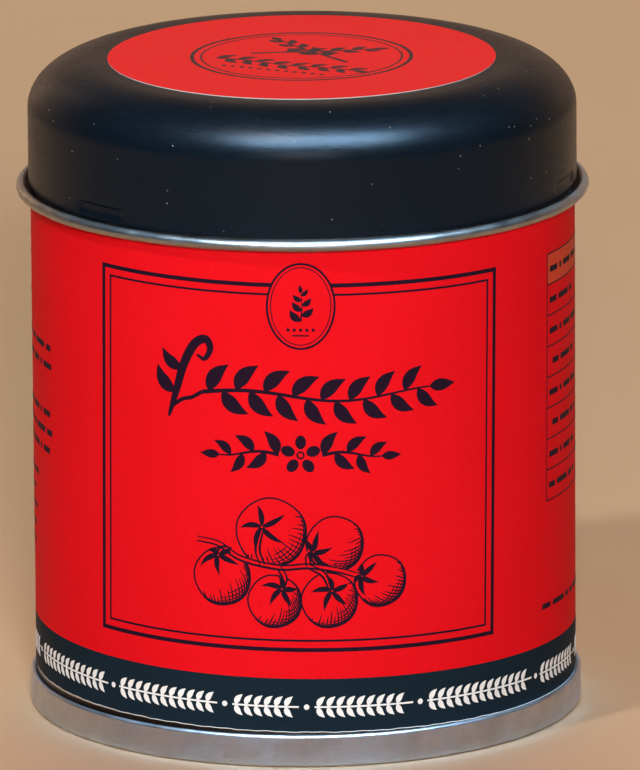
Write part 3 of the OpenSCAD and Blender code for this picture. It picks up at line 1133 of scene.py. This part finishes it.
def runs_of(keep):
    """First and last number of each unbroken run of True that is at least three long."""
    edges = np.flatnonzero(np.diff(np.r_[0, keep.astype(int), 0]))
    return [(a, b) for a, b in edges.reshape(-1, 2) if b - a >= 3]


def ball_line(centre, radius, pole, polar, way):
    """Points of a line on a ball, from its angle to the pole and its angle round the pole, seen from the
    front, with the surface's direction at each."""
    side = np.cross(pole, [0.0, 0.0, 1.0])
    side = side / np.linalg.norm(side)
    other = np.cross(pole, side)
    direction = (
        np.cos(polar)[:, None] * pole
        + (np.sin(polar) * np.cos(way))[:, None] * side
        + (np.sin(polar) * np.sin(way))[:, None] * other
    )
    return centre + radius * direction[:, :2], direction


def vine_lines():
    """Main stem and the side stems that lead to the tomatoes."""
    paths = [
        [(-13.2, 27.6), (-10.4, 27.2), (-7.6, 25.6), (-3.0, 24.7), (0.6, 24.9), (4.0, 24.4), (7.0, 23.5)],
        [(-8.8, 26.5), (-9.9, 26.6), (-10.46, 25.8)],
        [(-3.0, 24.7), (-2.3, 23.4), (-2.62, 22.0)],
        [(0.6, 24.9), (2.4, 23.8), (3.4, 21.8)],
        [(-5.0, 24.9), (-5.6, 26.9), (-5.1, 29.6)],
        [(0.6, 24.9), (0.5, 26.0), (1.15, 26.7)],
    ]
    return [smooth_line(np.array(path) * MM - [0, LABEL_MID], 12 * len(path)) for path in paths]


def tomato_drawing():
    """All strokes of the drawing: outlines, hatching, sepals and vine."""
    vines = vine_lines()
    vine_points = np.concatenate(vines)
    done, strips = [], []

    def uncovered(line):
        """True where no nearer tomato covers the line."""
        clear = np.ones(len(line), bool)
        for centre, radius in done:
            clear &= np.linalg.norm(line - centre, axis=1) > radius * 1.01
        return clear

    def visible(line):
        """True where no nearer tomato and no vine covers the line."""
        to_vine = np.min(np.linalg.norm(line[:, None] - vine_points[None], axis=2), axis=1)
        return uncovered(line) & (to_vine > VINE_HALF)

    def draw(line, keep, half):
        """Adds each run that shows, with the pen pressed in its middle."""
        for a, b in runs_of(keep):
            t = np.linspace(0, 1, b - a)
            strips.append(strip(line[a:b], half * (0.45 + 0.55 * np.sin(np.pi * t))))

    for x, z, r, heading, lean in TOMATOES:
        centre = np.array([x, z]) * MM - [0, LABEL_MID]
        radius = r * MM
        out = math.radians(heading)
        pole = np.array([math.cos(out) * lean, math.sin(out) * lean, math.sqrt(1 - lean**2)])
        angle = np.radians(np.linspace(0, 360, 121))
        lobes = 1 + 0.012 * np.cos(5 * angle + r)
        outline = centre + radius * lobes[:, None] * np.stack([np.cos(angle), np.sin(angle)], axis=-1)
        heavy = 0.10 * MM + 0.08 * MM * step_up(np.cos(angle + math.radians(50)), -0.3, 0.9)
        for a, b in runs_of(visible(outline)):
            strips.append(strip(outline[a:b], heavy[a:b]))
        polar = np.linspace(0.12, np.pi - 0.05, 70)
        for number in range(44):
            way = np.full(len(polar), number * 2 * np.pi / 44)
            line, direction = ball_line(centre, radius * 0.985, pole, polar, way)
            shade = direction @ LIGHT
            limit = 0.10 + 0.16 * math.sin(number * 2.4)
            keep = (direction[:, 2] > 0.04) & (shade < limit) & visible(line)
            draw(line, keep, 0.085 * MM)
        around_ball = np.linspace(0, 2 * np.pi, 121)
        for number in range(1, 15):
            polar = np.full(121, number * 0.19)
            line, direction = ball_line(centre, radius * 0.985, pole, polar, around_ball)
            shade = direction @ LIGHT
            limit = -0.12 + 0.10 * math.sin(number * 1.7)
            keep = (direction[:, 2] > 0.04) & (shade < limit) & visible(line)
            draw(line, keep, 0.075 * MM)
        out_along = np.linspace(0.04, 1, 17)
        for number in range(5):
            way = number * 2 * np.pi / 5 + 0.5 + 0.35 * out_along
            line, direction = ball_line(centre, radius, pole, 0.82 * out_along, way)
            half = 0.34 * MM * np.sin(np.pi * out_along**0.7)
            for a, b in runs_of((direction[:, 2] > 0) & uncovered(line)):
                strips.append(strip(line[a:b], half[a:b]))
        done.append((centre, radius))
    for line in vines:
        across = sideways(line) * VINE_HALF * 0.8
        t = np.linspace(0, 1, len(line))
        strips.append(strip(line + across, 0.11 * MM * (0.6 + 0.4 * np.sin(np.pi * t))))
        strips.append(strip(line - across, 0.14 * MM * (0.6 + 0.4 * np.sin(np.pi * t))))
    return strips


tomato_strokes = tomato_drawing()
print_on_label("tomato_engraving", tomato_strokes)
print("strokes in the tomato drawing:", len(tomato_strokes))

# %% [markdown]
# ## Small print and table
# The sides of a label carry a ruled table and blocks of small print. They are printed here as plain
# bars of different lengths, with no letters. The lengths come from a sine, so they look uneven and
# are the same on every run.

# %% Rule the table and set the bars
TABLE_LEFT = 36.0 * MM
TABLE_MIDDLE = 50.0 * MM
TABLE_RIGHT = 62.0 * MM
TABLE_TOP = 59.3 * MM - LABEL_MID
TABLE_ROWS = 8
TABLE_PITCH = 3.83 * MM
RULE_HALF = 0.09 * MM
BAR_HALF = 0.36 * MM


def word_bars(left, right, height, half, seed):
    """Bars of uneven length with gaps between them, from left to right on one line."""
    bars = []
    s = left
    number = 0
    while s < right - 0.8 * MM:
        long = (2.2 + 1.6 * math.sin(seed * 3.1 + number * 1.9)) * MM
        end = min(s + long, right)
        bars.append(straight((s, height), (end, height), half))
        s = end + 0.75 * MM
        number += 1
    return bars


def table_rules():
    """Rules of the table and the bars in its rows."""
    low = TABLE_TOP - TABLE_ROWS * TABLE_PITCH
    heights = [TABLE_TOP - i * TABLE_PITCH for i in range(TABLE_ROWS + 1)]
    rules = [straight((TABLE_LEFT, height), (TABLE_RIGHT, height), RULE_HALF) for height in heights]
    rules += [straight((s, TABLE_TOP), (s, low), RULE_HALF) for s in (TABLE_LEFT, TABLE_MIDDLE, TABLE_RIGHT)]
    for i in range(TABLE_ROWS):
        height = TABLE_TOP - (i + 0.52) * TABLE_PITCH
        left = TABLE_LEFT + (1.6 * MM if i in (3, 5) else 0.7 * MM)
        right = TABLE_MIDDLE - (2.0 + 1.5 * math.sin(i * 2.3)) * MM
        rules += word_bars(left, right, height, BAR_HALF, i + 1)
        rules += word_bars(TABLE_MIDDLE + 3.0 * MM, TABLE_RIGHT - 0.8 * MM, height, BAR_HALF, i + 20)
    return rules


def table_head():
    """Lighter fill of the table's first row, a tenth of a millimetre inside its rules."""
    left = TABLE_LEFT + 0.1 * MM
    right = TABLE_RIGHT - 0.1 * MM
    height = TABLE_TOP - TABLE_PITCH / 2
    return [straight((left, height), (right, height), TABLE_PITCH / 2 - 0.095 * MM)]


# Left end, right end and height of the first line, number of lines and half a bar's height, in mm
PRINT_BLOCKS = [
    (35.0, 60.0, 15.6, 1, 0.34), (-62.0, -38.9, 46.3, 2, 0.38), (-62.0, -38.9, 38.0, 3, 0.38),
    (-64.0, -50.0, 58.0, 4, 0.42), (-62.0, -44.5, 29.5, 5, 0.34), (72.0, 96.0, 56.0, 9, 0.45),
    (-98.0, -70.0, 40.0, 11, 0.40),
]


def small_print():
    """Blocks of small print beside the table, at the left and at the back."""
    bars = []
    for number, (left, right, top, lines, half) in enumerate(PRINT_BLOCKS):
        for line in range(lines):
            short = (1.5 + 1.5 * math.sin(line * 2.7 + number)) if number > 2 else 0.0
            height = (top - line * 2.3) * MM - LABEL_MID
            bars += word_bars(left * MM, (right - short) * MM, height, half * MM, number * 7 + line)
    return bars


print_on_label("side_table", table_rules())
print_on_label("table_head", table_head(), pale_ink, INK_HIGH - 0.006 * MM)
print_on_label("small_print", small_print())

# %% [markdown]
# ## The dark band and its garland
# A dark band runs round the foot of the label, down to the cut edge. A white garland of leaves and
# dots runs along it.

# %% Print the band and the garland
BAND_TOP = 10.9 * MM - LABEL_MID
GARLAND = 7.4 * MM - LABEL_MID


def band_mesh():
    """Skin on the paper between its lower edge and the band's top, which is parallel to the print."""
    s = np.linspace(-label_end, label_end, 561)
    top_height = LABEL_MID + BAND_TOP * math.cos(LEAN) - s * math.sin(LEAN)
    grids = [paper_face(s, lower_edge(s) + 0.10 * MM, top_height, 9, lift) for lift in (INK_HIGH, INK_LOW)]
    return closed_mesh("dark_band", *slab(*grids))


def garland():
    """Groups of slanting leaves on a thin stem, with a dot between each group and the next."""
    strips = []
    s = -label_end + 6 * MM
    number = 0
    while s < label_end - 10 * MM:
        long = (12.5 + 4.5 * math.sin(number * 1.7 + 0.6)) * MM
        end = min(s + long, label_end - 6 * MM)
        strips.append(straight((s, GARLAND), (end, GARLAND), 0.11 * MM))
        for where in np.arange(s + 0.4 * MM, end - 1.0 * MM, 1.22 * MM):
            for side in (-1, 1):
                angle = side * math.radians(56)
                strips.append(leaf((where, GARLAND), angle, 1.55 * MM, 0.36 * MM, 0.12 * side, 7))
        strips.append(dot((end + 0.95 * MM, GARLAND), 0.34 * MM))
        s = end + 1.9 * MM
        number += 1
    return strips


add_piece("dark_band", band_mesh(), "tin", [band_ink])
print_on_label("band_garland", garland(), white_ink, INK_HIGH + 0.014 * MM)

# %% [markdown]
# ## The lid's sticker
# A round sticker lies on the lid's flat top. It is a thin disc with a red face and a white edge, and
# its medallion is turned away from the front, as a sticker put on by hand is.

# %% Lay the sticker and print its medallion
sticker_r = outer_radius("lid_label")
sticker_low = low_end("lid_label")
sticker_top = top_end("lid_label")
STICKER_TURN = math.radians(-25)
sticker_outline = np.concatenate([
    [[r, sticker_top] for r in np.linspace(0, sticker_r, 12)],
    [[r, sticker_low] for r in np.linspace(sticker_r, 0, 4)],
])
sticker_finishes = np.r_[np.zeros(11), np.ones(5)]
add_piece(
    "lid_sticker", spun("lid_sticker", sticker_outline, None, sticker_finishes, 256, 30),
    "lid", [red_sticker, white_core], ["lid_label"],
)


def on_sticker(flat, lift):
    """Flat drawing to the sticker's face, turned about the lid's axis."""
    cos, sin = math.cos(STICKER_TURN), math.sin(STICKER_TURN)
    x = cos * flat[..., 0] - sin * flat[..., 1]
    y = sin * flat[..., 0] + cos * flat[..., 1]
    return np.stack([x, y, sticker_top + lift + 0 * x], axis=-1)


def large_medallion():
    """Round medallion: two rings, two crossed sprigs and a short garland below them."""
    strips = [
        ellipse((0, 0), 13.3 * MM, 13.3 * MM, 0.24 * MM, count=145),
        ellipse((0, 0), 12.2 * MM, 12.2 * MM, 0.12 * MM, count=145),
    ]
    stem = smooth_line([(-6.4, -1.4), (-2.5, 0.9), (2.0, 3.6), (6.2, 6.6)], 24) * MM
    crossed = sprig(stem, 3.2 * MM, 0.85 * MM, 1.35 * MM, 0.30 * MM, 34, 0.35, 0.30, 0.97)
    strips += moved(crossed, (0, 0.6 * MM)) + moved(crossed, (0, 0.6 * MM), mirror=True)
    row = np.stack([np.linspace(-9.2, 9.2, 40), -4.9 + 0.35 * np.sin(np.linspace(0, 9, 40))], axis=-1) * MM
    strips += sprig(row, 2.6 * MM, 0.62 * MM, 1.25 * MM, 0.20 * MM, 48, 0.1, 0.02, 0.97)
    strips += [dot((x * MM, -8.3 * MM), 0.32 * MM) for x in np.linspace(-6.5, 6.5, 12)]
    return strips


add_piece(
    "sticker_medallion", ink_mesh("sticker_medallion", large_medallion(), on_sticker),
    "lid", [brown_ink],
)

# %% [markdown]
# ## Floor, light and camera
# The tin stands on a plain pale floor. Some lights only shine on the tin's matt surfaces: one from the
# front, one from high up at the left, whose rim shadow falls on the label, and a wide one from behind.
# The others are only seen as reflections: a wide cool one, which gives the satin shoulder of the lid one
# long soft highlight, a small warm one beside it, a narrow one at the back left and a low one in front.
# The camera is far away with a long lens, which keeps the tin's sides nearly parallel.

# %% Lay the floor


def make_floor():
    """Pale matt floor with a faint cloudy grain."""
    made, shader = plain_material("pale_floor", (0.64, 0.46, 0.30), 0.75, specular=0.1)
    clouds = noise(made, place(made), 9, 3.0)
    cloudy = mix_colours(made, clouds, (0.62, 0.44, 0.28), (0.66, 0.48, 0.32))
    wire(made, cloudy, shader.inputs["Base Color"])
    return made


FLOOR_EDGE = 3.0
floor_corners = [(FLOOR_EDGE * x, FLOOR_EDGE * y, 0) for x, y in ((-1, -1), (1, -1), (1, 1), (-1, 1))]
floor_mesh = bpy.data.meshes.new("floor")
floor_mesh.from_pydata(floor_corners, [], [(0, 1, 2, 3)])
floor = bpy.data.objects.new("floor", floor_mesh)
bpy.context.scene.collection.objects.link(floor)
floor_mesh.materials.append(make_floor())

# %% Hang the lights


def direction_euler(way):
    """Angles that point an object's -Z along a direction and keep its X level."""
    flat = math.hypot(way[0], way[1])
    return (math.atan2(flat, -way[2]), 0, math.atan2(way[1], way[0]) - math.pi / 2)


def soft_light(name, turn, rise, distance, wide, high, colour, power):
    """Rectangular light at an angle from the front towards the right and an angle above the floor."""
    made = bpy.data.lights.new(name, "AREA")
    made.shape = "RECTANGLE"
    made.size = wide
    made.size_y = high
    made.color = colour
    made.energy = power
    obj = bpy.data.objects.new(name, made)
    bpy.context.scene.collection.objects.link(obj)
    turn, rise = math.radians(turn), math.radians(rise)
    obj.location = (
        distance * math.sin(turn) * math.cos(rise),
        -distance * math.cos(turn) * math.cos(rise),
        0.04 + distance * math.sin(rise),
    )
    obj.rotation_euler = direction_euler(np.array([0, 0, 0.04]) - np.array(obj.location))
    return obj


for shine in (
    soft_light("high_light", 10, 60, 0.9, 0.80, 0.42, (0.40, 0.68, 1.0), 52),
    soft_light("warm_spot", -22, 67, 0.9, 0.12, 0.10, (1.0, 0.78, 0.52), 2.6),
    soft_light("left_light", -152, 14, 1.0, 0.12, 0.6, (1.0, 0.62, 0.32), 0.2),
    soft_light("low_light", 0, 20, 1.2, 0.5, 0.3, (1.0, 0.97, 0.92), 2.5),
):
    shine.visible_diffuse = False
for fill in (
    soft_light("key_left", -45, 48, 1.2, 0.08, 0.08, (1.0, 0.95, 0.90), 4.2),
    soft_light("front_fill", 3, 19, 1.3, 0.16, 0.10, (1.0, 0.97, 0.95), 12.5),
    soft_light("back_fill", 175, 45, 1.4, 1.0, 0.5, (1.0, 0.86, 0.70), 9),
):
    fill.visible_glossy = False

world = bpy.data.worlds.new("room")
bpy.context.scene.world = world
world.use_nodes = True
sky = world.node_tree.nodes["Background"]
sky_split = world.node_tree.nodes.new("ShaderNodeSeparateXYZ")
sky_place = world.node_tree.nodes.new("ShaderNodeTexCoord")
wire(world, sky_place.outputs["Generated"], sky_split.inputs["Vector"])
behind = remap(world, sky_split.outputs["Y"], 0.2, 0.8, 0.0, 1.0)
low_down = remap(world, sky_split.outputs["Z"], 0.25, 0.65, 1.0, 0.0)
warm_share = math_node(world, "MULTIPLY", behind, low_down)
wire(world, mix_colours(world, warm_share, (0.035, 0.037, 0.042), (0.50, 0.31, 0.20)), sky.inputs["Color"])
bpy.context.scene.view_settings.view_transform = "Standard"

# %% Place the camera
CAMERA_RISE = math.radians(14.0)
CAMERA_ROLL = math.radians(-0.4)
CAMERA_AWAY = 1.5
SCENE_SCALE = 8190
FRAME_LONG = 770
SENSOR = 36
look_at = np.array([1.95 * MM, 0, 39.0 * MM])

camera_data = bpy.data.cameras.new("camera")
camera_data.sensor_width = SENSOR
camera_data.lens = SCENE_SCALE * CAMERA_AWAY * SENSOR / FRAME_LONG
camera_data.clip_start = 0.05
camera = bpy.data.objects.new("camera", camera_data)
bpy.context.scene.collection.objects.link(camera)
camera.location = look_at + CAMERA_AWAY * np.array([0, -math.cos(CAMERA_RISE), math.sin(CAMERA_RISE)])
camera.rotation_mode = "XYZ"
camera.rotation_euler = direction_euler(look_at - np.array(camera.location))
camera.rotation_euler.rotate_axis("Z", CAMERA_ROLL)
bpy.context.scene.camera = camera
